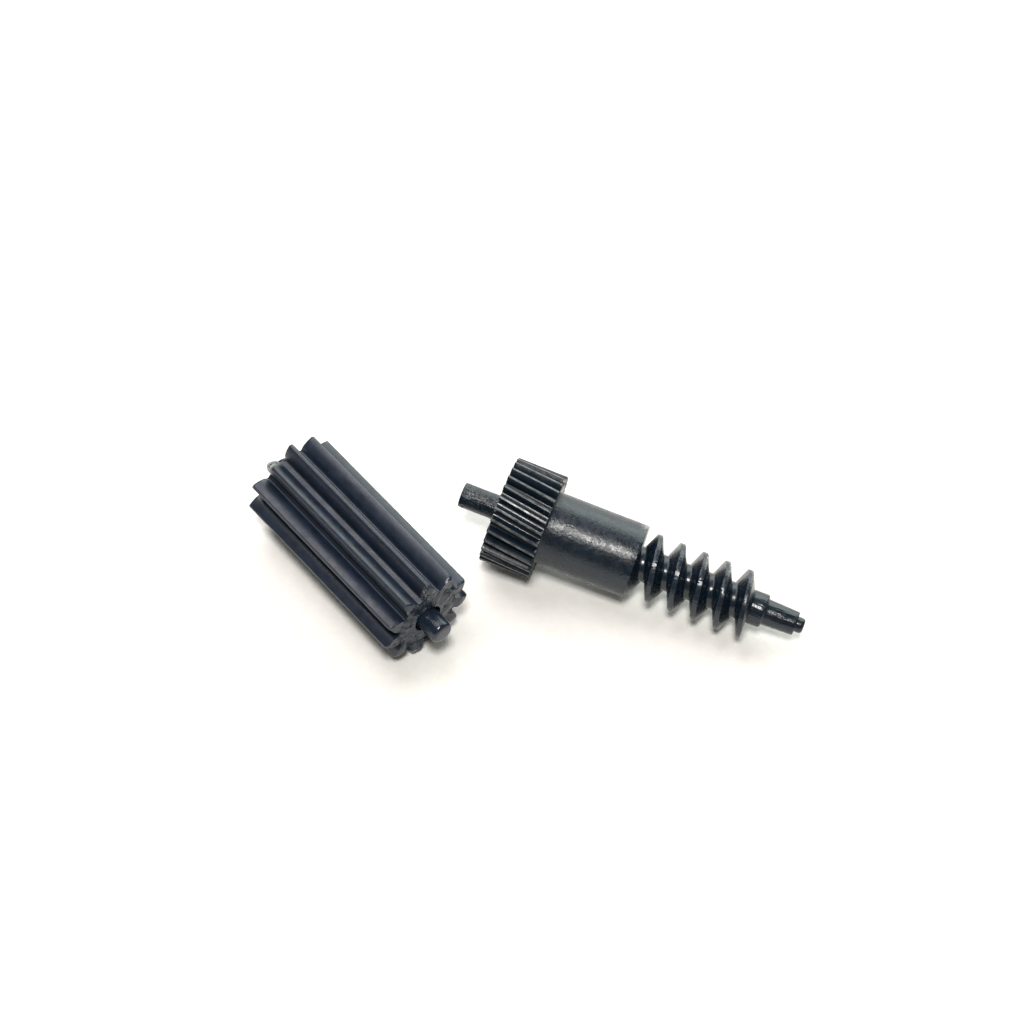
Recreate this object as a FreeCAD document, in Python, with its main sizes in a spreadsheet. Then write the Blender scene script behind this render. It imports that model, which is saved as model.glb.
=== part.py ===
import FreeCAD, Part
import math
import os

import Sketcher

# Worm gear set: two loose one-piece acetal mouldings of a micro gearbox, lying on a flat surface.
#   worm_spindle  pivot pin, helical gear, drum, single-start worm, shoulder, stub and nose in one
#   long_pinion   long straight spur pinion with a pivot pin on each end, the same module as the worm
# Frame: +Z up from the surface, +X along the spindle's heading from its gear to its nose, and the
# origin under the middle of the set. Each part is built along its own Z and then laid down.

VALUES = [
    # worm spindle, from its pin's free end to its nose
    ("pin_radius", 0.66, "left pivot pin"),
    ("pin_length", 2.1, ""),
    ("pin_chamfer", 0.06, ""),
    ("gear_teeth", 28, "helical gear, right hand"),
    ("gear_module", 0.188, "normal module"),
    ("gear_helix", 8.5, "degrees at the pitch circle"),
    ("gear_pressure", 20, "degrees"),
    ("gear_width", 2.75, ""),
    ("gear_fillet", 0.045, ""),
    ("drum_radius", 1.98, "plain drum between gear and worm"),
    ("drum_length", 4.93, ""),
    ("drum_chamfer", 0.02, ""),
    ("worm_module", 0.4, "axial module, single start, right hand"),
    ("worm_radius", 1.767, "outside radius"),
    ("worm_root", 0.89, "root radius"),
    ("worm_crest", 0.27, "land at the crest"),
    ("worm_valley", 0.30, "land at the root"),
    ("worm_length", 6.36, "drum's end to the plane that ends the thread"),
    ("worm_start", 0.5, "first thread section behind the drum's end"),
    ("shoulder_radius", 0.9, ""),
    ("shoulder_length", 0.76, ""),
    ("shoulder_chamfer", 0.08, ""),
    ("stub_radius", 0.70, "tapered stub, at the shoulder"),
    ("stub_end_radius", 0.63, "tapered stub, at the nose"),
    ("stub_length", 1.73, ""),
    ("nose_radius", 0.41, "small end pivot"),
    ("nose_length", 0.42, ""),
    ("nose_chamfer", 0.1, ""),
    # long pinion
    ("pinion_teeth", 11, "straight spur teeth"),
    ("pinion_module", 0.4, "the worm's module"),
    ("pinion_shift", 0.3, "profile shift coefficient"),
    ("pinion_pressure", 20, "degrees"),
    ("pinion_length", 11.42, "over the teeth"),
    ("pinion_fillet", 0.1, ""),
    ("pinion_chamfer", 0.14, "tooth tips at the gate end"),
    ("near_radius", 0.64, "pivot at the gate end"),
    ("near_root", 0.74, "its tapered root inside the ring"),
    ("near_length", 1.28, ""),
    ("near_chamfer", 0.14, ""),
    ("recess_radius", 0.82, "ring sunk round that pivot"),
    ("recess_depth", 0.35, ""),
    ("far_radius", 0.68, "pivot at the other end"),
    ("far_length", 0.95, ""),
    ("far_chamfer", 0.12, ""),
    # how the two lie
    ("spindle_x", -2.28, "gear's outer face, on the axis"),
    ("spindle_y", 3.54, ""),
    ("spindle_spin", -27.5, "degrees about its own axis"),
    ("pinion_x", -13.267, "far end of the teeth, on the axis"),
    ("pinion_y", 1.66, ""),
    ("pinion_heading", -30.2, "degrees from +X, towards the gate end"),
]

FORMULAS = [
    ("gear_start", "=pin_length"),
    ("gear_middle", "=pin_length + gear_width / 2"),
    ("gear_end", "=pin_length + gear_width"),
    ("drum_end", "=gear_end + drum_length"),
    ("worm_end", "=drum_end + worm_length"),
    ("shoulder_end", "=worm_end + shoulder_length"),
    ("stub_end", "=shoulder_end + stub_length"),
    ("nose_end", "=stub_end + nose_length"),
    ("gear_pitch_radius", "=gear_teeth * gear_module / cos(gear_helix * 1deg) / 2"),
    ("gear_tip", "=gear_pitch_radius + gear_module"),
    ("gear_root", "=gear_pitch_radius - 1.25 * gear_module"),
    ("worm_pitch", "=worm_module * pi"),
    ("worm_foot", "=worm_root - 0.12"),
    ("worm_foot_half", "=(worm_pitch - worm_valley) / 2 + 0.12 * (worm_pitch - worm_valley - worm_crest)"
                       " / 2 / (worm_radius - worm_root)"),
    ("thread_low", "=drum_end - worm_start"),
    ("thread_height", "=worm_length + worm_start + 0.7"),
    ("trim_end", "=worm_end + 1.6"),
    ("pinion_pitch_radius", "=pinion_teeth * pinion_module / 2"),
    ("pinion_tip", "=pinion_pitch_radius + (1 + pinion_shift) * pinion_module"),
    ("pinion_root", "=pinion_pitch_radius - (1.25 - pinion_shift) * pinion_module"),
    ("near_end", "=pinion_length + near_length"),
]

doc = FreeCAD.newDocument("worm_gear_set")
sheet = doc.addObject("Spreadsheet::Sheet", "Sizes")


def fill_sheet():
    """Driving sizes in millimetres and degrees, then the sizes that follow from them."""
    for row, (alias, value, note) in enumerate(VALUES, start=1):
        sheet.set(f"A{row}", alias)
        sheet.set(f"B{row}", str(value))
        sheet.set(f"C{row}", note)
        sheet.setAlias(f"B{row}", alias)
    doc.recompute()
    for row, (alias, formula) in enumerate(FORMULAS, start=len(VALUES) + 2):
        sheet.set(f"A{row}", alias)
        sheet.set(f"B{row}", formula)
        sheet.setAlias(f"B{row}", alias)
        doc.recompute()


def size(alias):
    """A size from the sheet as a plain number."""
    value = sheet.get(alias)
    return float(getattr(value, "Value", value))


def origin_plane(body, role):
    """The body's own origin plane with this role."""
    return next(f for f in body.Origin.OriginFeatures if f.Role == role)


def new_sketch(body, label, role, height=None):
    """A sketch on one of the body's origin planes, raised along the plane's normal by a sheet size."""
    sketch = body.newObject("Sketcher::SketchObject", label)
    sketch.AttachmentSupport = [(origin_plane(body, role), "")]
    sketch.MapMode = "FlatFace"
    if height:
        sketch.setExpression(".AttachmentOffset.Base.z", f"Sizes.{height} * 1mm")
    return sketch


def bind_point(sketch, edge, point, expressions):
    """Hold an edge's start point at (x, y), each a sheet expression, or 0 to keep it on that axis."""
    for kind, axis, expression, value in zip(
        ("DistanceX", "DistanceY"), (-2, -1), expressions, point
    ):
        if expression == "0":
            sketch.addConstraint(Sketcher.Constraint("PointOnObject", edge, 1, axis))
            continue
        index = sketch.addConstraint(Sketcher.Constraint(kind, -1, 1, edge, 1, value))
        sketch.setExpression(f"Constraints[{index}]", f"({expression}) * 1mm")


def evaluate(expression):
    """The number that a sheet expression gives."""
    names = sorted({a for a, *_ in VALUES} | {a for a, _ in FORMULAS}, key=len, reverse=True)
    probe = doc.addObject("App::FeaturePython", "Probe")
    probe.addProperty("App::PropertyFloat", "result")
    for name in names:
        expression = expression.replace(f"<{name}>", f"Sizes.{name}")
    probe.setExpression("result", expression)
    probe.recompute()
    result = probe.result
    doc.removeObject(probe.Name)
    return result


def polygon(sketch, corners):
    """A closed outline whose corners are pairs of expressions in <size> names."""
    text = [[c.replace("<", "Sizes.").replace(">", "") for c in pair] for pair in corners]
    points = [tuple(evaluate(c) for c in pair) for pair in corners]
    vectors = [FreeCAD.Vector(x, y, 0) for x, y in points]
    count = len(vectors)
    for i in range(count):
        sketch.addGeometry(Part.LineSegment(vectors[i], vectors[(i + 1) % count]), False)
    for i in range(count):
        sketch.addConstraint(Sketcher.Constraint("Coincident", i, 2, (i + 1) % count, 1))
    for i in range(count):
        bind_point(sketch, i, points[i], text[i])


def turned(body, kind, label, corners):
    """A revolved feature about the body's Z from an outline of (radius, height) corners."""
    sketch = new_sketch(body, f"{label}_outline", "XZ_Plane")
    polygon(sketch, corners)
    feature = body.newObject(kind, label)
    feature.Profile = sketch
    feature.ReferenceAxis = (sketch, ["V_Axis"])
    feature.Angle = 360
    sketch.Visibility = False
    return feature


def polar(radius, angle):
    return FreeCAD.Vector(radius * math.cos(angle), radius * math.sin(angle), 0)


def tooth_half_angle(teeth, module, pressure, shift, radius):
    """Half the angle that an involute tooth spans at this radius, or at its base circle if lower."""
    base = teeth * module / 2 * math.cos(pressure)
    alpha = math.acos(min(1.0, base / radius))
    half_pitch_angle = (math.pi / 2 + 2 * shift * math.tan(pressure)) / teeth
    return half_pitch_angle + math.tan(pressure) - pressure - (math.tan(alpha) - alpha)


def tooth_outline(teeth, module, pressure, shift, root, tip, fillet, turn):
    """One involute tooth about the direction turn, as edges: foot inside the root circle, root
    fillets, radial feet, involute flanks and a tip arc. Module and pressure are transverse."""
    base = teeth * module / 2 * math.cos(pressure)

    def half_angle(radius):
        return tooth_half_angle(teeth, module, pressure, shift, radius)

    half_base_angle = half_angle(base)
    offset = math.asin(fillet / (root + fillet))
    flank_foot = math.sqrt((root + fillet) ** 2 - fillet**2)
    foot_angle = half_base_angle + offset
    inner = root - 0.12
    radii = [base + (tip - base) * (k / 8) ** 2 for k in range(9)]
    edges = []
    for side in (1, -1):
        centre = polar(root + fillet, turn + side * foot_angle)
        start = polar(root, turn + side * foot_angle)
        end = polar(flank_foot, turn + side * half_base_angle)
        toward = ((start + end) * 0.5 - centre).normalize()
        edges.append(Part.LineSegment(polar(inner, turn + side * foot_angle), start))
        edges.append(Part.Arc(start, centre + toward * fillet, end))
        edges.append(Part.LineSegment(end, polar(base, turn + side * half_base_angle)))
        flank = Part.BSplineCurve()
        flank.interpolate([polar(r, turn + side * half_angle(r)) for r in radii])
        edges.append(flank)
    land = half_angle(tip)
    edges.append(Part.Arc(polar(tip, turn - land), polar(tip, turn), polar(tip, turn + land)))
    edges.append(Part.LineSegment(polar(inner, turn - foot_angle), polar(inner, turn + foot_angle)))
    return edges


def build_spindle():
    body = doc.addObject("PartDesign::Body", "worm_spindle")
    body.Label = "worm_spindle"
    turned(body, "PartDesign::Revolution", "Turned_core", [
        ("0", "0"),
        ("<pin_radius> - <pin_chamfer>", "0"),
        ("<pin_radius>", "<pin_chamfer>"),
        ("<pin_radius>", "<gear_middle>"),
        ("<drum_radius>", "<gear_middle>"),
        ("<drum_radius>", "<drum_end> - <drum_chamfer>"),
        ("<drum_radius> - <drum_chamfer>", "<drum_end>"),
        ("<worm_root>", "<drum_end>"),
        ("<worm_root>", "<worm_end>"),
        ("<shoulder_radius>", "<worm_end>"),
        ("<shoulder_radius>", "<shoulder_end> - <shoulder_chamfer>"),
        ("<shoulder_radius> - <shoulder_chamfer>", "<shoulder_end>"),
        ("<stub_radius>", "<shoulder_end>"),
        ("<stub_end_radius>", "<stub_end>"),
        ("<nose_radius>", "<stub_end>"),
        ("<nose_radius>", "<nose_end> - <nose_chamfer>"),
        ("<nose_radius> - <nose_chamfer>", "<nose_end>"),
        ("0", "<nose_end>"),
    ])

    sketch = new_sketch(body, "Thread_section", "XZ_Plane")
    polygon(sketch, [
        ("<worm_foot>", "<thread_low> - <worm_foot_half>"),
        ("<worm_radius>", "<thread_low> - <worm_crest> / 2"),
        ("<worm_radius>", "<thread_low> + <worm_crest> / 2"),
        ("<worm_foot>", "<thread_low> + <worm_foot_half>"),
    ])
    thread = body.newObject("PartDesign::AdditiveHelix", "Worm_thread")
    thread.Profile = sketch
    thread.ReferenceAxis = (sketch, ["V_Axis"])
    thread.Mode = "pitch-height-angle"
    thread.LeftHanded = False
    thread.setExpression("Pitch", "Sizes.worm_pitch * 1mm")
    thread.setExpression("Height", "Sizes.thread_height * 1mm")
    turned(body, "PartDesign::Groove", "Thread_trim", [
        ("<shoulder_radius>", "<worm_end>"),
        ("<worm_radius> + 0.4", "<worm_end>"),
        ("<worm_radius> + 0.4", "<trim_end>"),
        ("<shoulder_radius>", "<trim_end>"),
    ])

    rim = new_sketch(body, "Gear_core_outline", "XY_Plane", "gear_start")
    bound_circle(rim, "gear_root")
    core = body.newObject("PartDesign::Pad", "Gear_core")
    core.Profile = rim
    core.setExpression("Length", "Sizes.gear_width * 1mm")

    helix = math.radians(size("gear_helix"))
    transverse = size("gear_module") / math.cos(helix)
    pressure = math.atan(math.tan(math.radians(size("gear_pressure"))) / math.cos(helix))
    twist = size("gear_width") * math.tan(helix) / size("gear_pitch_radius")
    sections = []
    for step, height in enumerate(("gear_start", "gear_middle", "gear_end")):
        sketch = new_sketch(body, f"Gear_tooth_{step}", "XY_Plane", height)
        outline = tooth_outline(
            size("gear_teeth"), transverse, pressure, 0.0, size("gear_root"), size("gear_tip"),
            size("gear_fillet"), twist * step / 2,
        )
        sketch.addGeometry(outline, False)
        sections.append(sketch)
    tooth = body.newObject("PartDesign::AdditiveLoft", "Gear_tooth")
    tooth.Profile = sections[0]
    tooth.Sections = sections[1:]
    repeat(body, tooth, sections[0], "Gear_teeth", "gear_teeth")
    return body


def bound_circle(sketch, alias):
    """A circle about the sketch's origin with a radius from the sheet."""
    sketch.addGeometry(Part.Circle(FreeCAD.Vector(), FreeCAD.Vector(0, 0, 1), size(alias)), False)
    sketch.addConstraint(Sketcher.Constraint("Coincident", 0, 3, -1, 1))
    index = sketch.addConstraint(Sketcher.Constraint("Radius", 0, size(alias)))
    sketch.setExpression(f"Constraints[{index}]", f"Sizes.{alias} * 1mm")


def repeat(body, tooth, sketch, label, count):
    """The tooth all the way round the body's Z, as many times as the sheet says."""
    pattern = body.newObject("PartDesign::PolarPattern", label)
    pattern.Originals = [tooth]
    pattern.Axis = (sketch, ["N_Axis"])
    pattern.Angle = 360
    pattern.setExpression("Occurrences", f"Sizes.{count}")
    body.Tip = pattern
    return pattern


def build_pinion():
    body = doc.addObject("PartDesign::Body", "long_pinion")
    body.Label = "long_pinion"
    rim = new_sketch(body, "Pinion_core_outline", "XY_Plane")
    bound_circle(rim, "pinion_root")
    core = body.newObject("PartDesign::Pad", "Pinion_core")
    core.Profile = rim
    core.setExpression("Length", "Sizes.pinion_length * 1mm")

    sketch = new_sketch(body, "Pinion_tooth_outline", "XY_Plane")
    outline = tooth_outline(
        size("pinion_teeth"), size("pinion_module"), math.radians(size("pinion_pressure")),
        size("pinion_shift"), size("pinion_root"), size("pinion_tip"), size("pinion_fillet"), 0.0,
    )
    sketch.addGeometry(outline, False)
    tooth = body.newObject("PartDesign::Pad", "Pinion_tooth")
    tooth.Profile = sketch
    tooth.setExpression("Length", "Sizes.pinion_length * 1mm")
    repeat(body, tooth, sketch, "Pinion_teeth", "pinion_teeth")

    turned(body, "PartDesign::Groove", "Tip_chamfer", [
        ("<pinion_tip> - <pinion_chamfer>", "<pinion_length>"),
        ("<pinion_tip> + 0.1", "<pinion_length> - <pinion_chamfer> - 0.1"),
        ("<pinion_tip> + 0.1", "<pinion_length>"),
    ])
    turned(body, "PartDesign::Groove", "Recess", [
        ("<near_radius>", "<pinion_length> - <recess_depth>"),
        ("<recess_radius>", "<pinion_length> - <recess_depth>"),
        ("<recess_radius>", "<pinion_length>"),
        ("<near_radius>", "<pinion_length>"),
    ])
    turned(body, "PartDesign::Revolution", "Near_pivot", [
        ("0", "<pinion_length> - 1"),
        ("<near_root>", "<pinion_length> - 1"),
        ("<near_root>", "<pinion_length> - <recess_depth>"),
        ("<near_radius>", "<pinion_length>"),
        ("<near_radius>", "<near_end> - <near_chamfer>"),
        ("<near_radius> - <near_chamfer>", "<near_end>"),
        ("0", "<near_end>"),
    ])
    turned(body, "PartDesign::Revolution", "Far_pivot", [
        ("0", "-<far_length>"),
        ("<far_radius> - <far_chamfer>", "-<far_length>"),
        ("<far_radius>", "<far_chamfer> - <far_length>"),
        ("<far_radius>", "1"),
        ("0", "1"),
    ])
    return body


def lay_down(start, heading, tilt, spin):
    """Own Z laid along a heading in XY, nose down by tilt, after a spin about own Z in radians.
    With no spin, own X ends up pointing up."""
    axis = FreeCAD.Vector(
        math.cos(heading) * math.cos(tilt), math.sin(heading) * math.cos(tilt), -math.sin(tilt)
    )
    up = FreeCAD.Vector(0, 0, 1)
    up = (up - axis * up.dot(axis)).normalize()
    side = axis.cross(up)
    turn = FreeCAD.Rotation(up, side, axis, "ZXY")
    own = FreeCAD.Rotation(FreeCAD.Vector(0, 0, 1), math.degrees(spin))
    return FreeCAD.Placement(start, turn * own)


def place_spindle(body):
    """The spindle rests on its gear's inner rim and on the end of its thread."""
    rim, crest = size("gear_tip"), size("worm_radius")
    tilt = math.atan2(rim - crest, size("worm_end") - size("gear_end"))
    height = rim * math.cos(tilt) + size("gear_width") * math.sin(tilt)
    spin = math.radians(size("spindle_spin"))
    at = lay_down(FreeCAD.Vector(size("spindle_x"), size("spindle_y"), height), 0.0, tilt, spin)
    body.Placement = at * FreeCAD.Placement(
        FreeCAD.Vector(0, 0, -size("gear_start")), FreeCAD.Rotation()
    )


def place_pinion(body):
    """The pinion rests on two neighbouring teeth."""
    land = tooth_half_angle(
        size("pinion_teeth"), size("pinion_module"), math.radians(size("pinion_pressure")),
        size("pinion_shift"), size("pinion_tip"),
    )
    height = size("pinion_tip") * math.cos(math.pi / size("pinion_teeth") - land)
    start = FreeCAD.Vector(size("pinion_x"), size("pinion_y"), height)
    heading = math.radians(size("pinion_heading"))
    body.Placement = lay_down(start, heading, 0.0, 0.0)


def check_and_write(bodies):
    doc.recompute()
    faults = [o.Label for o in doc.Objects if "Invalid" in o.State or "Error" in o.State]
    if faults:
        raise RuntimeError(f"features in error: {faults}")
    os.makedirs("parts", exist_ok=True)
    for body in bodies:
        shape = body.Shape
        if shape.isNull() or not shape.isValid() or len(shape.Solids) != 1:
            raise RuntimeError(f"{body.Label} isn't one valid solid")
        shape.exportStep(f"parts/{body.Label}.step")
        print(body.Label, f"volume {shape.Volume:.3f}", len(shape.Faces), "faces")


fill_sheet()
spindle = build_spindle()
pinion = build_pinion()
doc.recompute()
place_spindle(spindle)
place_pinion(pinion)
check_and_write([spindle, pinion])
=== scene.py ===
import math

import bpy
import numpy as np
from mathutils import Matrix, Vector


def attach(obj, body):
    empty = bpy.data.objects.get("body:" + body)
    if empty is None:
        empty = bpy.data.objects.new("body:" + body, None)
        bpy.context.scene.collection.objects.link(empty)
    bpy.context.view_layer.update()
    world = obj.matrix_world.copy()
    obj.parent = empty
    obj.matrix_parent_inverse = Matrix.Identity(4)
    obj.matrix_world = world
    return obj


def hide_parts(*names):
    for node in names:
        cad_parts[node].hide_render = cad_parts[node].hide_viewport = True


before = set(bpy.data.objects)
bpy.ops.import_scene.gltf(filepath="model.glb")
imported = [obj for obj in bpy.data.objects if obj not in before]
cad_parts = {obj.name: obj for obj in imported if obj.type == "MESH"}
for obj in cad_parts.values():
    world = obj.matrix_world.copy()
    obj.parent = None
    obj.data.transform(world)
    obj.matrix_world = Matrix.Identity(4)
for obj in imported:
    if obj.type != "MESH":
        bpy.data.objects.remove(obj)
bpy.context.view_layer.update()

MM = 0.001

# ---------------------------------------------------------------- sizes, in millimetres and radians

PIN = dict(radius=0.66, length=2.1)
GEAR = dict(teeth=28, module=0.188, helix=math.radians(8.5), width=2.75, fillet=0.045)
DRUM = dict(radius=1.98, length=4.93)
WORM = dict(pitch=0.4 * math.pi, radius=1.767, root=0.89, crest=0.27, valley=0.30, length=6.36)
WORM_START = 0.5
SHOULDER = dict(radius=0.9, length=0.76)
STUB = dict(radius=0.70, end=0.63, length=1.73)
NOSE = dict(radius=0.41, length=0.42)
SPINDLE_AT = (-2.28, 3.54)
SPINDLE_SPIN = math.radians(-27.5)

PINION = dict(teeth=11, module=0.4, shift=0.3, length=11.42, fillet=0.1)
NEAR = dict(radius=0.64, length=1.28, recess=0.82, depth=0.35, root=0.74)
FAR = dict(radius=0.68, length=0.95)
PINION_AT = (-13.267, 1.66)
PINION_HEADING = math.radians(-30.2)

PRESSURE = math.radians(20)
GEAR_START = PIN["length"]
GEAR_END = GEAR_START + GEAR["width"]
DRUM_END = GEAR_END + DRUM["length"]
WORM_END = DRUM_END + WORM["length"]
SHOULDER_END = WORM_END + SHOULDER["length"]
STUB_END = SHOULDER_END + STUB["length"]
NOSE_END = STUB_END + NOSE["length"]


class Tooth:
    """An involute tooth form with a root fillet, in the transverse plane."""

    def __init__(self, teeth, module, pressure, shift, addendum, dedendum, fillet):
        self.teeth = teeth
        self.pressure = pressure
        self.shift = shift
        self.pitch_radius = teeth * module / 2
        self.base = self.pitch_radius * math.cos(pressure)
        self.tip = self.pitch_radius + addendum
        self.root = self.pitch_radius - dedendum
        self.fillet = fillet

    def half_angle(self, radius):
        alpha = math.acos(min(1.0, self.base / radius))
        at_pitch = (math.pi / 2 + 2 * self.shift * math.tan(self.pressure)) / self.teeth
        involute = math.tan(self.pressure) - self.pressure
        return at_pitch + involute - (math.tan(alpha) - alpha)

    def side(self, flank_points, arc_points, root_points, corner):
        """(radius, angle) from beside the crest's middle to beside the gap's middle."""
        land = self.half_angle(self.tip)
        points = [(self.tip, land * 0.5), (self.tip - corner * 0.1, land * 0.86)]
        points.append((self.tip - corner * 0.5, self.half_angle(self.tip - corner * 0.5) - 0.002))
        top = self.tip - corner * 1.6
        for k in range(flank_points):
            t = k / (flank_points - 1)
            radius = top + (self.base - top) * (1 - (1 - t) ** 1.5)
            points.append((radius, self.half_angle(radius)))
        foot = self.half_angle(self.base)
        offset = math.asin(self.fillet / (self.root + self.fillet))
        centre_radius = self.root + self.fillet
        centre_angle = foot + offset
        start = math.pi / 2 + offset
        for k in range(arc_points):
            t = (k + 0.5) / arc_points
            sweep = start - (start - 0.0) * t
            x = centre_radius - self.fillet * math.cos(sweep)
            y = -self.fillet * math.sin(sweep)
            points.append((math.hypot(x, y), centre_angle + math.atan2(y, x)))
        gap = math.pi / self.teeth
        for k in range(root_points):
            points.append((self.root, centre_angle + (gap - centre_angle) * k / root_points))
        return points

    def around(self, **counts):
        """Radius and angle arrays of the whole outline, starting at the middle of tooth 0's crest."""
        side = self.side(**counts)
        gap = math.pi / self.teeth
        one = [(self.tip, 0.0)] + side + [(self.root, gap)]
        one += [(r, 2 * gap - a) for r, a in reversed(side)]
        radius = np.array([r for r, _ in one] * self.teeth)
        angle = np.concatenate([np.array([a for _, a in one]) + 2 * gap * k for k in range(self.teeth)])
        return radius, angle, len(one)


def near_angle(angle, centre, width):
    """1 at a centre angle, falling to 0 a few widths away; both in degrees."""
    away = (angle - math.radians(centre) + math.pi) % (2 * math.pi) - math.pi
    return np.exp(-((away / math.radians(width)) ** 2))


def waves(seed, count, low, high):
    """Smooth seeded noise of two variables as a sum of sine waves, roughly -1 to 1."""
    rng = np.random.default_rng(seed)
    terms = []
    for _ in range(count):
        terms.append((rng.integers(low, high), rng.uniform(-high, high), rng.uniform(0, 2 * math.pi)))

    def at(angle, z):
        total = sum(np.sin(n * angle + m * z + p) for n, m, p in terms)
        return total / math.sqrt(count)

    return at


class Rings:
    """A closed skin built from rings of points, with vertices that coincide merged."""

    def __init__(self, columns):
        self.columns = columns
        self.points = []
        self.crest_highlight = []
        self.chalk_and_glint = []
        self.faces = []
        self.last = None

    def add_points(self, xyz, crest_highlight=0.0, chalk_and_glint=0.0):
        start = len(self.points)
        self.points.extend(map(tuple, xyz))
        self.crest_highlight.extend(np.broadcast_to(crest_highlight, len(xyz)))
        self.chalk_and_glint.extend(np.broadcast_to(chalk_and_glint, len(xyz)))
        return np.arange(start, start + len(xyz))

    def ring(self, radius, angle, z, crest_highlight=0.0, chalk_and_glint=0.0):
        radius, angle, z = np.broadcast_arrays(radius, angle, z)
        xyz = np.stack([radius * np.cos(angle), radius * np.sin(angle), z], 1)
        self.join(self.add_points(xyz, crest_highlight, chalk_and_glint))

    def join(self, ids):
        if self.last is not None:
            a, b = self.last, ids
            for i in range(self.columns):
                j = (i + 1) % self.columns
                self.faces.append((a[i], a[j], b[j], b[i]))
        self.last = ids

    def cap(self, z, start):
        """Close the skin at its start or end with a point on the axis."""
        centre = self.add_points([(0.0, 0.0, z)])[0]
        ids = self.last if not start else self.first
        for i in range(self.columns):
            j = (i + 1) % self.columns
            face = (centre, ids[j], ids[i]) if start else (ids[i], ids[j], centre)
            self.faces.append(face)

    def mesh(self, name, matrix):
        points = np.array(self.points)
        keys = np.round(points, 6)
        _, index, inverse = np.unique(keys, axis=0, return_index=True, return_inverse=True)
        inverse = inverse.reshape(-1)
        faces = []
        for face in self.faces:
            ids = [int(inverse[v]) for v in face]
            kept = [v for k, v in enumerate(ids) if v != ids[k - 1]]
            if len(kept) >= 3 and len(set(kept)) == len(kept):
                faces.append(kept)
        mesh = bpy.data.meshes.new(name)
        mesh.from_pydata([tuple(p * MM) for p in points[index]], [], faces)
        mesh.validate()
        for key, values in (("crest_highlight", self.crest_highlight), ("chalk_and_glint", self.chalk_and_glint)):
            attribute = mesh.attributes.new(key, "FLOAT", "POINT")
            attribute.data.foreach_set("value", np.array(values, dtype=np.float32)[index])
        mesh.shade_smooth()
        mesh.set_sharp_from_angle(angle=math.radians(38))
        obj = bpy.data.objects.new(name, mesh)
        bpy.context.scene.collection.objects.link(obj)
        obj.matrix_world = matrix
        return obj


def lay_down(at, height, heading, tilt, spin, lift):
    """Own Z laid along a heading, nose down by tilt, after a spin; lift is where own Z starts."""
    axis = Vector((math.cos(heading) * math.cos(tilt), math.sin(heading) * math.cos(tilt), -math.sin(tilt)))
    up = Vector((0, 0, 1))
    up = (up - axis * up.dot(axis)).normalized()
    side = axis.cross(up)
    turn = Matrix((up, side, axis)).transposed().to_4x4()
    start = Vector((at[0] * MM, at[1] * MM, height * MM))
    return (
        Matrix.Translation(start)
        @ turn
        @ Matrix.Rotation(spin, 4, "Z")
        @ Matrix.Translation((0, 0, -lift * MM))
    )


# ---------------------------------------------------------------- worm spindle


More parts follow.
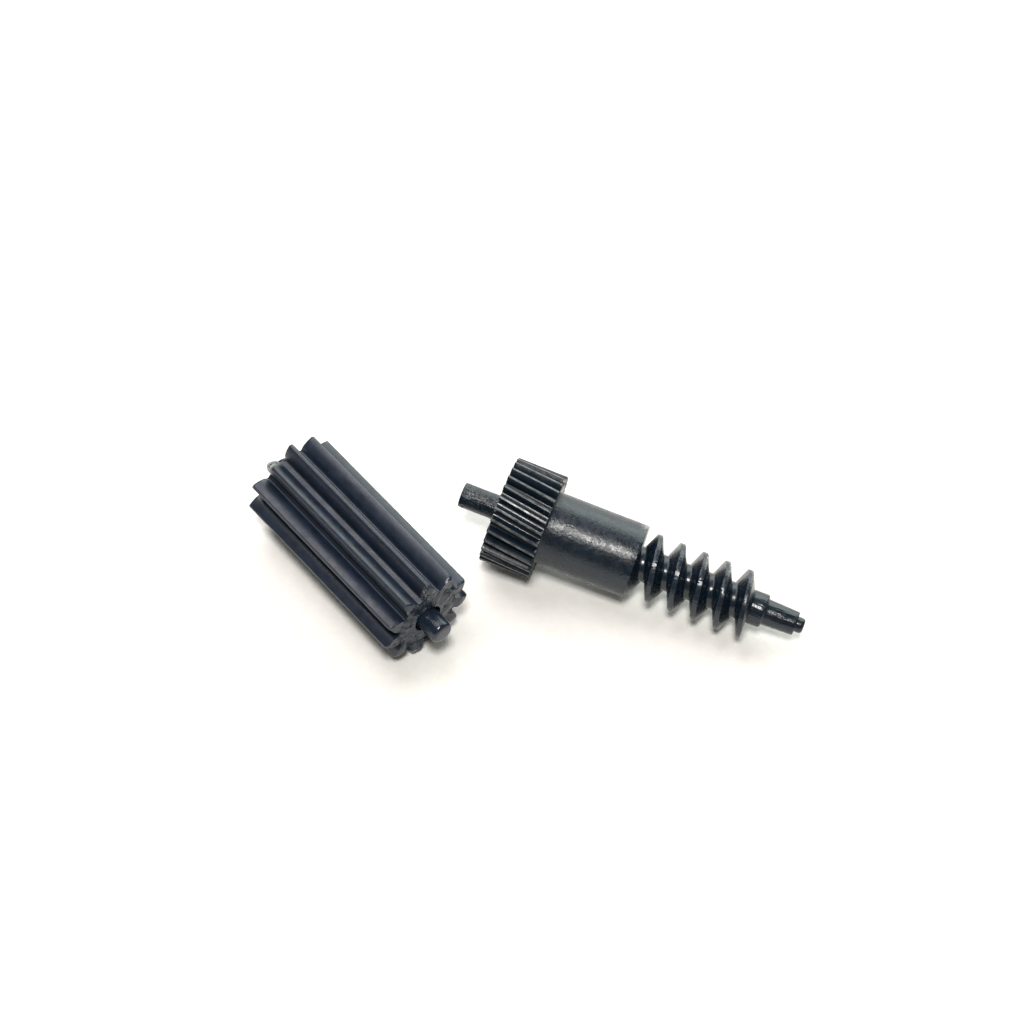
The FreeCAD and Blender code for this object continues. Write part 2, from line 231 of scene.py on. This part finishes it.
def build_spindle():
    transverse = GEAR["module"] / math.cos(GEAR["helix"])
    pressure = math.atan(math.tan(PRESSURE) / math.cos(GEAR["helix"]))
    tooth = Tooth(
        GEAR["teeth"], transverse, pressure, 0.0, GEAR["module"], 1.25 * GEAR["module"], GEAR["fillet"]
    )
    radius, angle, per_tooth = tooth.around(flank_points=3, arc_points=1, root_points=1, corner=0.012)
    columns = len(radius)
    even = np.arange(columns) * 2 * math.pi / columns
    twist = GEAR["width"] * math.tan(GEAR["helix"]) / tooth.pitch_radius
    skin = Rings(columns)
    rough = waves(3, 9, 3, 40)
    slow = waves(5, 6, 1, 7)

    # left pivot pin with a softly rounded end
    skin.ring(0.30, even, 0.012)
    skin.first = skin.last
    for r, z in ((0.50, 0.0), (0.60, 0.004), (0.64, 0.018), (0.655, 0.04), (PIN["radius"], 0.07)):
        skin.ring(r + 0.006 * slow(even, z), even, z)
    for z in np.linspace(0.2, GEAR_START - 0.06, 12):
        skin.ring(PIN["radius"] + 0.006 * rough(even, z * 2.0), even, z)
    skin.ring(PIN["radius"] + 0.015, even, GEAR_START - 0.02)
    skin.ring(PIN["radius"] + 0.05, even, GEAR_START)

    # gear: outer face, teeth and inner face
    for t in (0.3, 0.55, 0.75, 0.88, 0.96):
        r = PIN["radius"] + 0.05 + (radius - 0.015 - PIN["radius"] - 0.05) * t
        skin.ring(r, even + (angle - even) * t, GEAR_START)
    skin.ring(radius - 0.012, angle, GEAR_START)
    land = tooth.half_angle(tooth.tip)
    from_middle = np.abs((angle + math.pi / tooth.teeth) % (2 * math.pi / tooth.teeth) - math.pi / tooth.teeth)
    # crest mask: it scales a small bump and the painted highlight, a lighter colour along the crest lands
    crest_highlight_amount = np.clip((radius - tooth.tip + 0.004) / 0.004, 0, 1)
    crest_highlight_band = crest_highlight_amount * np.clip(1.15 - from_middle / land, 0, 1)
    steps = 18
    for k in range(steps + 1):
        z = GEAR_START + 0.012 + (GEAR["width"] - 0.024) * k / steps
        turn = twist * (z - GEAR_START) / GEAR["width"]
        bump = 0.004 * rough(angle, z * 1.5) * crest_highlight_amount
        patchy = np.clip(0.75 + 0.6 * slow(angle, z * 2.0), 0.25, 1.2)
        skin.ring(radius + bump, angle + turn, z, crest_highlight_band * patchy)
    # moulding flash on the gear's inner face, raised and whitened
    flash_and_glint = near_angle(angle, -38, 30)
    skin.ring(radius - 0.012, angle + twist, GEAR_END + 0.02 * flash_and_glint * np.abs(rough(angle, 2.0)), 0.0, flash_and_glint)
    for t in (0.96, 0.88, 0.7, 0.45, 0.2):
        r = DRUM["radius"] + 0.03 + (radius - 0.012 - DRUM["radius"] - 0.03) * t
        ripple = -0.012 * np.abs(slow(even, 9.0 * t)) + 0.02 * flash_and_glint * t * np.abs(rough(even, 8.0 * t))
        skin.ring(r, even + twist + (angle - even) * t, GEAR_END + ripple, 0.0, flash_and_glint * t)

    # drum
    even = even + twist
    skin.ring(DRUM["radius"] + 0.03, even, GEAR_END + 0.0)
    skin.ring(DRUM["radius"] + 0.008, even, GEAR_END + 0.02)
    for z in np.linspace(GEAR_END + 0.06, DRUM_END - 0.05, 12):
        edge = 0.8 * near_angle(even, -10, 14) * (z > DRUM_END - 0.3)
        skin.ring(DRUM["radius"] + 0.004 * slow(even, z * 0.8), even, z, 0.0, edge)
    torn = 0.9 * near_angle(even, -12, 16)
    for r, z in ((0.004, 0.03), (-0.002, 0.01), (-0.014, 0.002), (-0.05, 0.0)):
        skin.ring(DRUM["radius"] + r + 0.008 * rough(even, 1.0), even, DRUM_END - z, 0.0, torn)

    # worm: every column follows the thread, so the rings climb one pitch per turn
    half = WORM["crest"] / 2
    foot = (WORM["pitch"] - WORM["valley"]) / 2
    depth = WORM["radius"] - WORM["root"]
    shape = [(0.0, 0.0), (0.8 * half, -0.002), (half, -0.02), (half + 0.014, -0.05)]
    for t in (0.33, 0.67):
        shape.append((half + (foot - half) * t, -depth * t))
    shape += [(foot - 0.012, -depth + 0.03), (foot + 0.035, -depth + 0.004), (foot + 0.09, -depth)]
    mirrored = [(-u, d) for u, d in reversed(shape[1:])]
    offsets = np.array([u for u, _ in mirrored + shape] + [WORM["pitch"] / 2])
    drops = np.array([d for _, d in mirrored + shape] + [-depth])
    table_u = np.concatenate([[-WORM["pitch"] / 2], offsets])
    table_d = np.concatenate([[-depth], drops])
    turns = int(WORM["length"] / WORM["pitch"]) + 3
    low = DRUM_END - WORM_START
    burr = waves(11, 8, 5, 50)

    def thread_radius(theta, z):
        crest = low + WORM["pitch"] * theta / (2 * math.pi)
        u = (z - crest + WORM["pitch"] / 2) % WORM["pitch"] - WORM["pitch"] / 2
        drop = np.interp(u, table_u, table_d)
        lip = np.exp(-(((np.abs(u) - half) / 0.035) ** 2))
        return WORM["radius"] + drop + 0.010 * lip * burr(theta, z * 2.0) * (drop > -0.1)

    per_pitch = len(offsets)
    levels = per_pitch * turns
    theta = even % (2 * math.pi)
    order = np.argsort(theta)
    theta = theta[order]
    grid = np.zeros((levels, columns), dtype=int)
    for level in range(levels):
        pitch_number, feature = divmod(level, per_pitch)
        z = low + WORM["pitch"] * (theta / (2 * math.pi) + pitch_number - 1) + offsets[feature]
        z = np.clip(z, DRUM_END, WORM_END)
        r = thread_radius(theta, z)
        # faint painted highlight, a lighter colour along the worm's crests
        crest_highlight_amount = 0.03 * np.clip(1 - (WORM["radius"] - r) / 0.05, 0, 1)
        lip = near_angle(theta, -5, 26) * (0.05 < offsets[feature] < 0.2) * (pitch_number > 3)
        xyz = np.stack([r * np.cos(theta), r * np.sin(theta), z], 1)
        grid[level] = skin.add_points(xyz, crest_highlight_amount, lip)
    start = skin.add_points(grid_ring(thread_radius, theta, DRUM_END))
    back = np.empty_like(order)
    back[order] = np.arange(columns)
    skin.ring(*ring_between(DRUM["radius"] - 0.06, thread_radius(theta, DRUM_END)[back], even, 0.5), DRUM_END)
    skin.join(start[back])
    for level in range(levels - 1):
        for i in range(columns - 1):
            skin.faces.append((grid[level, i], grid[level, i + 1], grid[level + 1, i + 1], grid[level + 1, i]))
        onward = level + per_pitch
        if onward + 1 < levels:
            skin.faces.append(
                (grid[level, -1], grid[onward, 0], grid[onward + 1, 0], grid[level + 1, -1])
            )
    end = skin.add_points(grid_ring(thread_radius, theta, WORM_END))
    skin.last = end[back]

    # shoulder, tapered stub and nose
    skin.ring(SHOULDER["radius"] + 0.004, even, WORM_END)
    for z in np.linspace(WORM_END + 0.05, SHOULDER_END - 0.1, 5):
        skin.ring(SHOULDER["radius"] + 0.004 * rough(even, z), even, z)
    for r, z in ((-0.012, 0.06), (-0.04, 0.02), (-0.08, 0.0)):
        skin.ring(SHOULDER["radius"] + r, even, SHOULDER_END - z)
    skin.ring(STUB["radius"] + 0.03, even, SHOULDER_END)
    skin.ring(STUB["radius"] + 0.006, even, SHOULDER_END + 0.025)
    for t in np.linspace(0.05, 0.95, 12):
        r = STUB["radius"] + (STUB["end"] - STUB["radius"]) * t
        skin.ring(r + 0.005 * rough(even, 7 * t), even, SHOULDER_END + STUB["length"] * t)
    for r, z in ((-0.004, 0.04), (-0.02, 0.012), (-0.05, 0.0)):
        skin.ring(STUB["end"] + r, even, STUB_END - z)
    skin.ring(NOSE["radius"] + 0.02, even, STUB_END)
    skin.ring(NOSE["radius"], even, STUB_END + 0.02)
    for r, z in ((0.0, 0.2), (-0.008, 0.13), (-0.035, 0.065), (-0.085, 0.02), (-0.16, 0.003), (-0.27, 0.0)):
        skin.ring(NOSE["radius"] + r, even, NOSE_END - z)
    skin.cap(NOSE_END, start=False)
    skin.cap(0.014, start=True)

    tilt = math.atan2(tooth.tip - WORM["radius"], WORM_END - GEAR_END)
    height = tooth.tip * math.cos(tilt) + GEAR["width"] * math.sin(tilt)
    matrix = lay_down(SPINDLE_AT, height, 0.0, tilt, SPINDLE_SPIN, GEAR_START)
    return skin.mesh("worm_spindle_skin", matrix)


def grid_ring(radius_at, theta, z):
    r = radius_at(theta, np.full_like(theta, z))
    return np.stack([r * np.cos(theta), r * np.sin(theta), np.full_like(theta, z)], 1)


def ring_between(outer, inner, angle, t):
    return outer + (inner - outer) * t, angle


# ---------------------------------------------------------------- long pinion


def build_pinion():
    tooth = Tooth(
        PINION["teeth"], PINION["module"], PRESSURE, PINION["shift"],
        (1 + PINION["shift"]) * PINION["module"], (1.25 - PINION["shift"]) * PINION["module"],
        PINION["fillet"],
    )
    radius, angle, per_tooth = tooth.around(flank_points=6, arc_points=3, root_points=3, corner=0.02)
    columns = len(radius)
    even = np.arange(columns) * 2 * math.pi / columns
    length = PINION["length"]
    skin = Rings(columns)
    slow = waves(21, 6, 1, 6)
    rough = waves(22, 9, 4, 60)
    ridges = waves(23, 7, 2, 14)
    blotch = waves(29, 10, 1, 9)

    # far pivot, domed
    skin.ring(0.22, even, -FAR["length"])
    skin.first = skin.last
    for r, z in ((0.40, 0.012), (0.52, 0.05), (0.61, 0.115), (0.66, 0.19), (FAR["radius"], 0.27)):
        skin.ring(r, even, -FAR["length"] + z)
    for z in (-0.5, -0.3, -0.1):
        skin.ring(FAR["radius"] + 0.004 * rough(even, z), even, z)
    skin.ring(FAR["radius"] + 0.02, even, -0.03)
    skin.ring(FAR["radius"] + 0.08, even, 0.0)

    # far face
    inner = FAR["radius"] + 0.08
    for t in (0.25, 0.5, 0.75, 0.92):
        skin.ring(inner + (radius - 0.02 - inner) * t, even + (angle - even) * t, 0.008 * slow(even, t))
    skin.ring(radius - 0.014, angle, 0.004)
    # crest mask: it scales a small bump and the painted highlight, a lighter colour along the crest lands
    crest_highlight_amount = np.clip((radius - tooth.tip + 0.03) / 0.03, 0, 1)
    tip_share = np.clip((radius - tooth.root) / (tooth.tip - tooth.root), 0, 1)

    # teeth
    for z in np.linspace(0.02, length - 0.26, 84):
        bump = 0.0035 * rough(angle, z * 1.1) * crest_highlight_amount + 0.003 * slow(angle, z * 0.5)
        # whitish patch on the far end of one tooth: a painted highlight
        flash_and_glint = near_angle(angle, 36, 9) * tip_share * (z < 0.4)
        skin.ring(radius + bump, angle, z, crest_highlight_amount, flash_and_glint)

    # gate end: tips rounded over, faces uneven, a ring sunk round the pivot
    burr = near_angle(angle, 8, 5) + near_angle(angle, -13, 6)
    for back, drop in ((0.2, 0.002), (0.14, 0.012), (0.09, 0.035), (0.05, 0.07), (0.02, 0.11)):
        ragged = 0.03 * ridges(angle, 2.0) * tip_share
        swell = 0.05 * burr * (0.2 - back) / 0.18
        skin.ring(radius - drop * tip_share**3 + swell, angle, length - back + 0.3 * ragged, crest_highlight_amount, 0.35 * burr)
    edge = radius - 0.14 * tip_share**3 - 0.015 + 0.05 * burr
    inner = NEAR["recess"]
    for t in (0.0, 0.08, 0.18, 0.3, 0.42, 0.54, 0.66, 0.77, 0.87, 0.95, 1.0):
        mix = t**0.9
        r = edge + (inner - edge) * mix
        a = angle + (even - angle) * mix
        height = np.clip((r - tooth.root) / (tooth.tip - tooth.root), 0, 1)
        bulge = 0.05 * np.sin(math.pi * np.clip(height * 1.15, 0, 1))
        sunk = -0.09 * np.exp(-(((r - tooth.root + 0.1) / 0.16) ** 2))
        torn = 0.05 * blotch(a, 1.6 * r) * (1 - t) ** 0.3 + 0.03 * np.abs(blotch(a + 1.0, 3.4 * r))
        skin.ring(r, a, length + bulge + sunk + torn * min(1.0, 4 * t + 0.2))
    for z in (0.08, 0.2, 0.3):
        skin.ring(NEAR["recess"] - 0.01, even, length - z)
    skin.ring(NEAR["recess"] - 0.03, even, length - NEAR["depth"])
    skin.ring(NEAR["root"], even, length - NEAR["depth"])
    skin.ring((NEAR["root"] + NEAR["radius"]) / 2, even, length - NEAR["depth"] / 2)

    # near pivot
    end = length + NEAR["length"]
    for z in np.linspace(length, end - 0.24, 10):
        skin.ring(NEAR["radius"] + 0.006 * rough(even, z * 1.7) + 0.006 * slow(even, z), even, z)
    for r, z in ((-0.008, 0.17), (-0.04, 0.1), (-0.1, 0.045), (-0.17, 0.012), (-0.24, 0.0), (-0.4, -0.004)):
        skin.ring(NEAR["radius"] + r, even, end - z)
    skin.cap(end + 0.006, start=False)
    skin.cap(-FAR["length"], start=True)

    land = tooth.half_angle(tooth.tip)
    height = tooth.tip * math.cos(math.pi / tooth.teeth - land)
    matrix = lay_down(PINION_AT, height, PINION_HEADING, 0.0, 0.0, 0.0)
    return skin.mesh("long_pinion_skin", matrix)


# ---------------------------------------------------------------- materials


class Nodes:
    """Small helper round a material's node tree."""

    def __init__(self, name):
        self.material = bpy.data.materials.new(name)
        self.material.use_nodes = True
        self.tree = self.material.node_tree
        self.shader = self.tree.nodes["Principled BSDF"]
        self.place = self.node("ShaderNodeMapping")
        self.place.inputs["Scale"].default_value = (1000, 1000, 1000)
        coordinates = self.node("ShaderNodeTexCoord")
        self.link(coordinates.outputs["Object"], self.place.inputs["Vector"])

    def node(self, kind, **settings):
        node = self.tree.nodes.new(kind)
        for key, value in settings.items():
            setattr(node, key, value)
        return node

    def link(self, a, b):
        self.tree.links.new(a, b)

    def noise(self, scale, detail=4.0, roughness=0.55, stretch=None):
        node = self.node("ShaderNodeTexNoise")
        node.inputs["Scale"].default_value = scale
        node.inputs["Detail"].default_value = detail
        node.inputs["Roughness"].default_value = roughness
        source = self.place.outputs["Vector"]
        if stretch:
            squeeze = self.node("ShaderNodeMapping")
            squeeze.inputs["Scale"].default_value = stretch
            self.link(source, squeeze.inputs["Vector"])
            source = squeeze.outputs["Vector"]
        self.link(source, node.inputs["Vector"])
        return node.outputs["Fac"]

    def ramp(self, source, *stops):
        node = self.node("ShaderNodeValToRGB")
        ramp = node.color_ramp
        while len(ramp.elements) < len(stops):
            ramp.elements.new(0.5)
        for element, (position, colour) in zip(ramp.elements, stops):
            element.position = position
            element.color = (*colour, 1) if len(colour) == 3 else colour
        self.link(source, node.inputs["Fac"])
        return node.outputs["Color"]

    def span(self, source, low, high, to_low, to_high):
        node = self.node("ShaderNodeMapRange")
        for key, value in zip(("From Min", "From Max", "To Min", "To Max"), (low, high, to_low, to_high)):
            node.inputs[key].default_value = value
        self.link(source, node.inputs["Value"])
        return node.outputs["Result"]

    def math(self, operation, a, b):
        node = self.node("ShaderNodeMath", operation=operation)
        for socket, value in zip(node.inputs, (a, b)):
            if isinstance(value, (int, float)):
                socket.default_value = value
            else:
                self.link(value, socket)
        return node.outputs["Value"]

    def mix(self, factor, a, b):
        node = self.node("ShaderNodeMix", data_type="RGBA")
        self.link(factor, node.inputs["Factor"])
        for socket, value in zip((node.inputs[6], node.inputs[7]), (a, b)):
            if isinstance(value, tuple):
                socket.default_value = (*value, 1)
            else:
                self.link(value, socket)
        return node.outputs[2]

    def attribute(self, name):
        return self.node("ShaderNodeAttribute", attribute_name=name).outputs["Fac"]

    def bump(self, height, strength, distance, base=None):
        node = self.node("ShaderNodeBump")
        node.inputs["Strength"].default_value = strength
        node.inputs["Distance"].default_value = distance
        self.link(height, node.inputs["Height"])
        if base is not None:
            self.link(base, node.inputs["Normal"])
        return node.outputs["Normal"]


def acetal(name, tint, zones, grain, crest_highlight_amount):
    """Black moulded plastic. zones are (own z in mm, roughness, bump) along the piece."""
    n = Nodes(name)
    split = n.node("ShaderNodeSeparateXYZ")
    n.link(n.place.outputs["Vector"], split.inputs["Vector"])
    along = n.span(split.outputs["Z"], -1.0, 20.0, 0.0, 1.0)
    stops = [((z + 1.0) / 21.0, (rough, bump, 0.0)) for z, rough, bump in zones]
    zone = n.node("ShaderNodeSeparateColor")
    n.link(n.ramp(along, *stops), zone.inputs["Color"])

    cloud = n.noise(1.3, 5.0, 0.62)
    dark = tuple(0.55 * c for c in tint)
    colour = n.ramp(cloud, (0.34, dark), (0.68, tint))
    # painted highlight: the crest lands are mixed towards a lighter grey
    colour = n.mix(n.math("MULTIPLY", n.attribute("crest_highlight"), crest_highlight_amount), colour, (0.2, 0.22, 0.21))
    # whitish marks: moulding flash, burrs and crumbs, and on the pinion's far tooth end a painted highlight
    crumbs = n.ramp(n.noise(9.0, 3.0, 0.6), (0.42, (0, 0, 0)), (0.54, (1, 1, 1)))
    chalk_and_glint = n.math("MULTIPLY", n.attribute("chalk_and_glint"), crumbs)
    dust = n.ramp(n.noise(7.0, 2.0, 0.5), (0.775, (0, 0, 0)), (0.80, (1, 1, 1)))
    chalk_and_glint = n.math("MAXIMUM", chalk_and_glint, n.math("MULTIPLY", dust, 0.3))
    colour = n.mix(chalk_and_glint, colour, (0.42, 0.43, 0.40))
    n.link(colour, n.shader.inputs["Base Color"])

    patches = n.span(n.noise(grain * 0.5, 4.0, 0.6), 0.3, 0.7, -0.09, 0.11)
    n.link(n.math("ADD", zone.outputs["Red"], patches), n.shader.inputs["Roughness"])
    n.shader.inputs["IOR"].default_value = 1.5
    height = n.math("MULTIPLY", n.noise(grain, 3.0, 0.55), zone.outputs["Green"])
    normal = n.bump(height, 1.0, 0.00004)
    drawn = n.noise(6.0, 2.0, 0.5, stretch=(1.0, 1.0, 0.08))
    n.link(n.bump(drawn, 0.15, 0.00001, normal), n.shader.inputs["Normal"])
    return n.material


def paper():
    n = Nodes("pale_paper")
    fibre = n.noise(1.5, 6.0, 0.65)
    colour = n.ramp(fibre, (0.3, (0.90, 0.88, 0.835)), (0.7, (0.94, 0.925, 0.89)))
    n.link(colour, n.shader.inputs["Base Color"])
    n.shader.inputs["Roughness"].default_value = 0.75
    n.link(n.bump(n.noise(1.4, 5.0, 0.65), 0.5, 0.00012), n.shader.inputs["Normal"])
    return n.material


# ---------------------------------------------------------------- the set

spindle = build_spindle()
SPINDLE_ZONES = (
    (0.05, 0.28, 1.2), (1.95, 0.28, 1.2), (2.05, 0.3, 0.1), (4.8, 0.3, 0.1), (4.9, 0.31, 0.5),
    (9.7, 0.29, 0.5), (9.8, 0.26, 0.08), (16.1, 0.26, 0.08), (16.2, 0.24, 0.3), (19.0, 0.22, 0.2),
)
PINION_ZONES = ((0.0, 0.2, 0.1), (0.1, 0.36, 0.05), (11.2, 0.36, 0.05), (11.4, 0.3, 0.22), (11.7, 0.2, 0.15))
spindle.data.materials.append(acetal("spindle_acetal", (0.005, 0.013, 0.024), SPINDLE_ZONES, 6.5, 0.6))
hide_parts("worm_spindle")
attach(spindle, "spindle")

pinion = build_pinion()
pinion.data.materials.append(acetal("pinion_acetal", (0.013, 0.022, 0.041), PINION_ZONES, 4.0, 0.05))
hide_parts("long_pinion")
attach(pinion, "pinion")

# ---------------------------------------------------------------- floor, light and camera

floor_mesh = bpy.data.meshes.new("floor")
reach = 1.2
floor_mesh.from_pydata(
    [(-reach, -reach, 0), (reach, -reach, 0), (reach, reach, 0), (-reach, reach, 0)], [], [(0, 1, 2, 3)]
)
floor = bpy.data.objects.new("floor", floor_mesh)
bpy.context.scene.collection.objects.link(floor)
floor.location.z = -0.00001
floor.data.materials.append(paper())

world = bpy.data.worlds.new("surroundings")
bpy.context.scene.world = world
world.use_nodes = True
sky = world.node_tree.nodes["Background"]
sky.inputs["Color"].default_value = (1.0, 0.94, 0.85, 1)
sky.inputs["Strength"].default_value = 0.18
bpy.context.scene.view_settings.view_transform = "Standard"


def area_light(name, azimuth, elevation, distance, size, power, colour):
    """A square lamp aimed at the set. Azimuth 0 stands in front, at -Y, and grows towards +X."""
    data = bpy.data.lights.new(name, "AREA")
    data.shape = "RECTANGLE"
    data.size, data.size_y = size
    data.energy = power
    data.color = colour
    lamp = bpy.data.objects.new(name, data)
    az, el = math.radians(azimuth), math.radians(elevation)
    where = Vector((math.sin(az) * math.cos(el), -math.cos(az) * math.cos(el), math.sin(el))) * distance
    lamp.location = where
    lamp.rotation_euler = where.to_track_quat("Z", "Y").to_euler()
    bpy.context.scene.collection.objects.link(lamp)


area_light("key", 8, 68, 0.4, (0.085, 0.085), 1.15, (1.0, 0.98, 0.95))
area_light("back", 175, 37, 0.5, (0.5, 0.32), 1.9, (0.91, 1.0, 0.96))
area_light("low_back", 180, 10, 0.5, (0.7, 0.15), 0.6, (0.93, 1.0, 0.97))
area_light("overhead", 242, 62, 0.5, (0.3, 0.3), 1.2, (1.0, 0.96, 0.99))

# the camera of the fitted view: aimed at a point on the floor, rolled a little
AIM = Vector((-2.187, 5.87, 0)) * MM
VIEW_HEADING = math.radians(14.6)
VIEW_ELEVATION = math.radians(52.71)
VIEW_ROLL = math.radians(6.24)
VIEW_DISTANCE = 152.44 * MM
forward = Vector((
    -math.sin(VIEW_HEADING) * math.cos(VIEW_ELEVATION),
    math.cos(VIEW_HEADING) * math.cos(VIEW_ELEVATION),
    -math.sin(VIEW_ELEVATION),
))
right = Vector((math.cos(VIEW_HEADING), math.sin(VIEW_HEADING), 0))
above = right.cross(forward)
rolled_right = right * math.cos(VIEW_ROLL) + above * math.sin(VIEW_ROLL)
rolled_above = above * math.cos(VIEW_ROLL) - right * math.sin(VIEW_ROLL)
lens = bpy.data.cameras.new("camera")
lens.sensor_width = 36
lens.lens = 100.1
lens.clip_start = 0.005
lens.clip_end = 10
camera = bpy.data.objects.new("camera", lens)
bpy.context.scene.collection.objects.link(camera)
turn = Matrix((rolled_right, rolled_above, -forward)).transposed().to_4x4()
camera.matrix_world = Matrix.Translation(AIM - forward * VIEW_DISTANCE) @ turn
bpy.context.scene.camera = camera
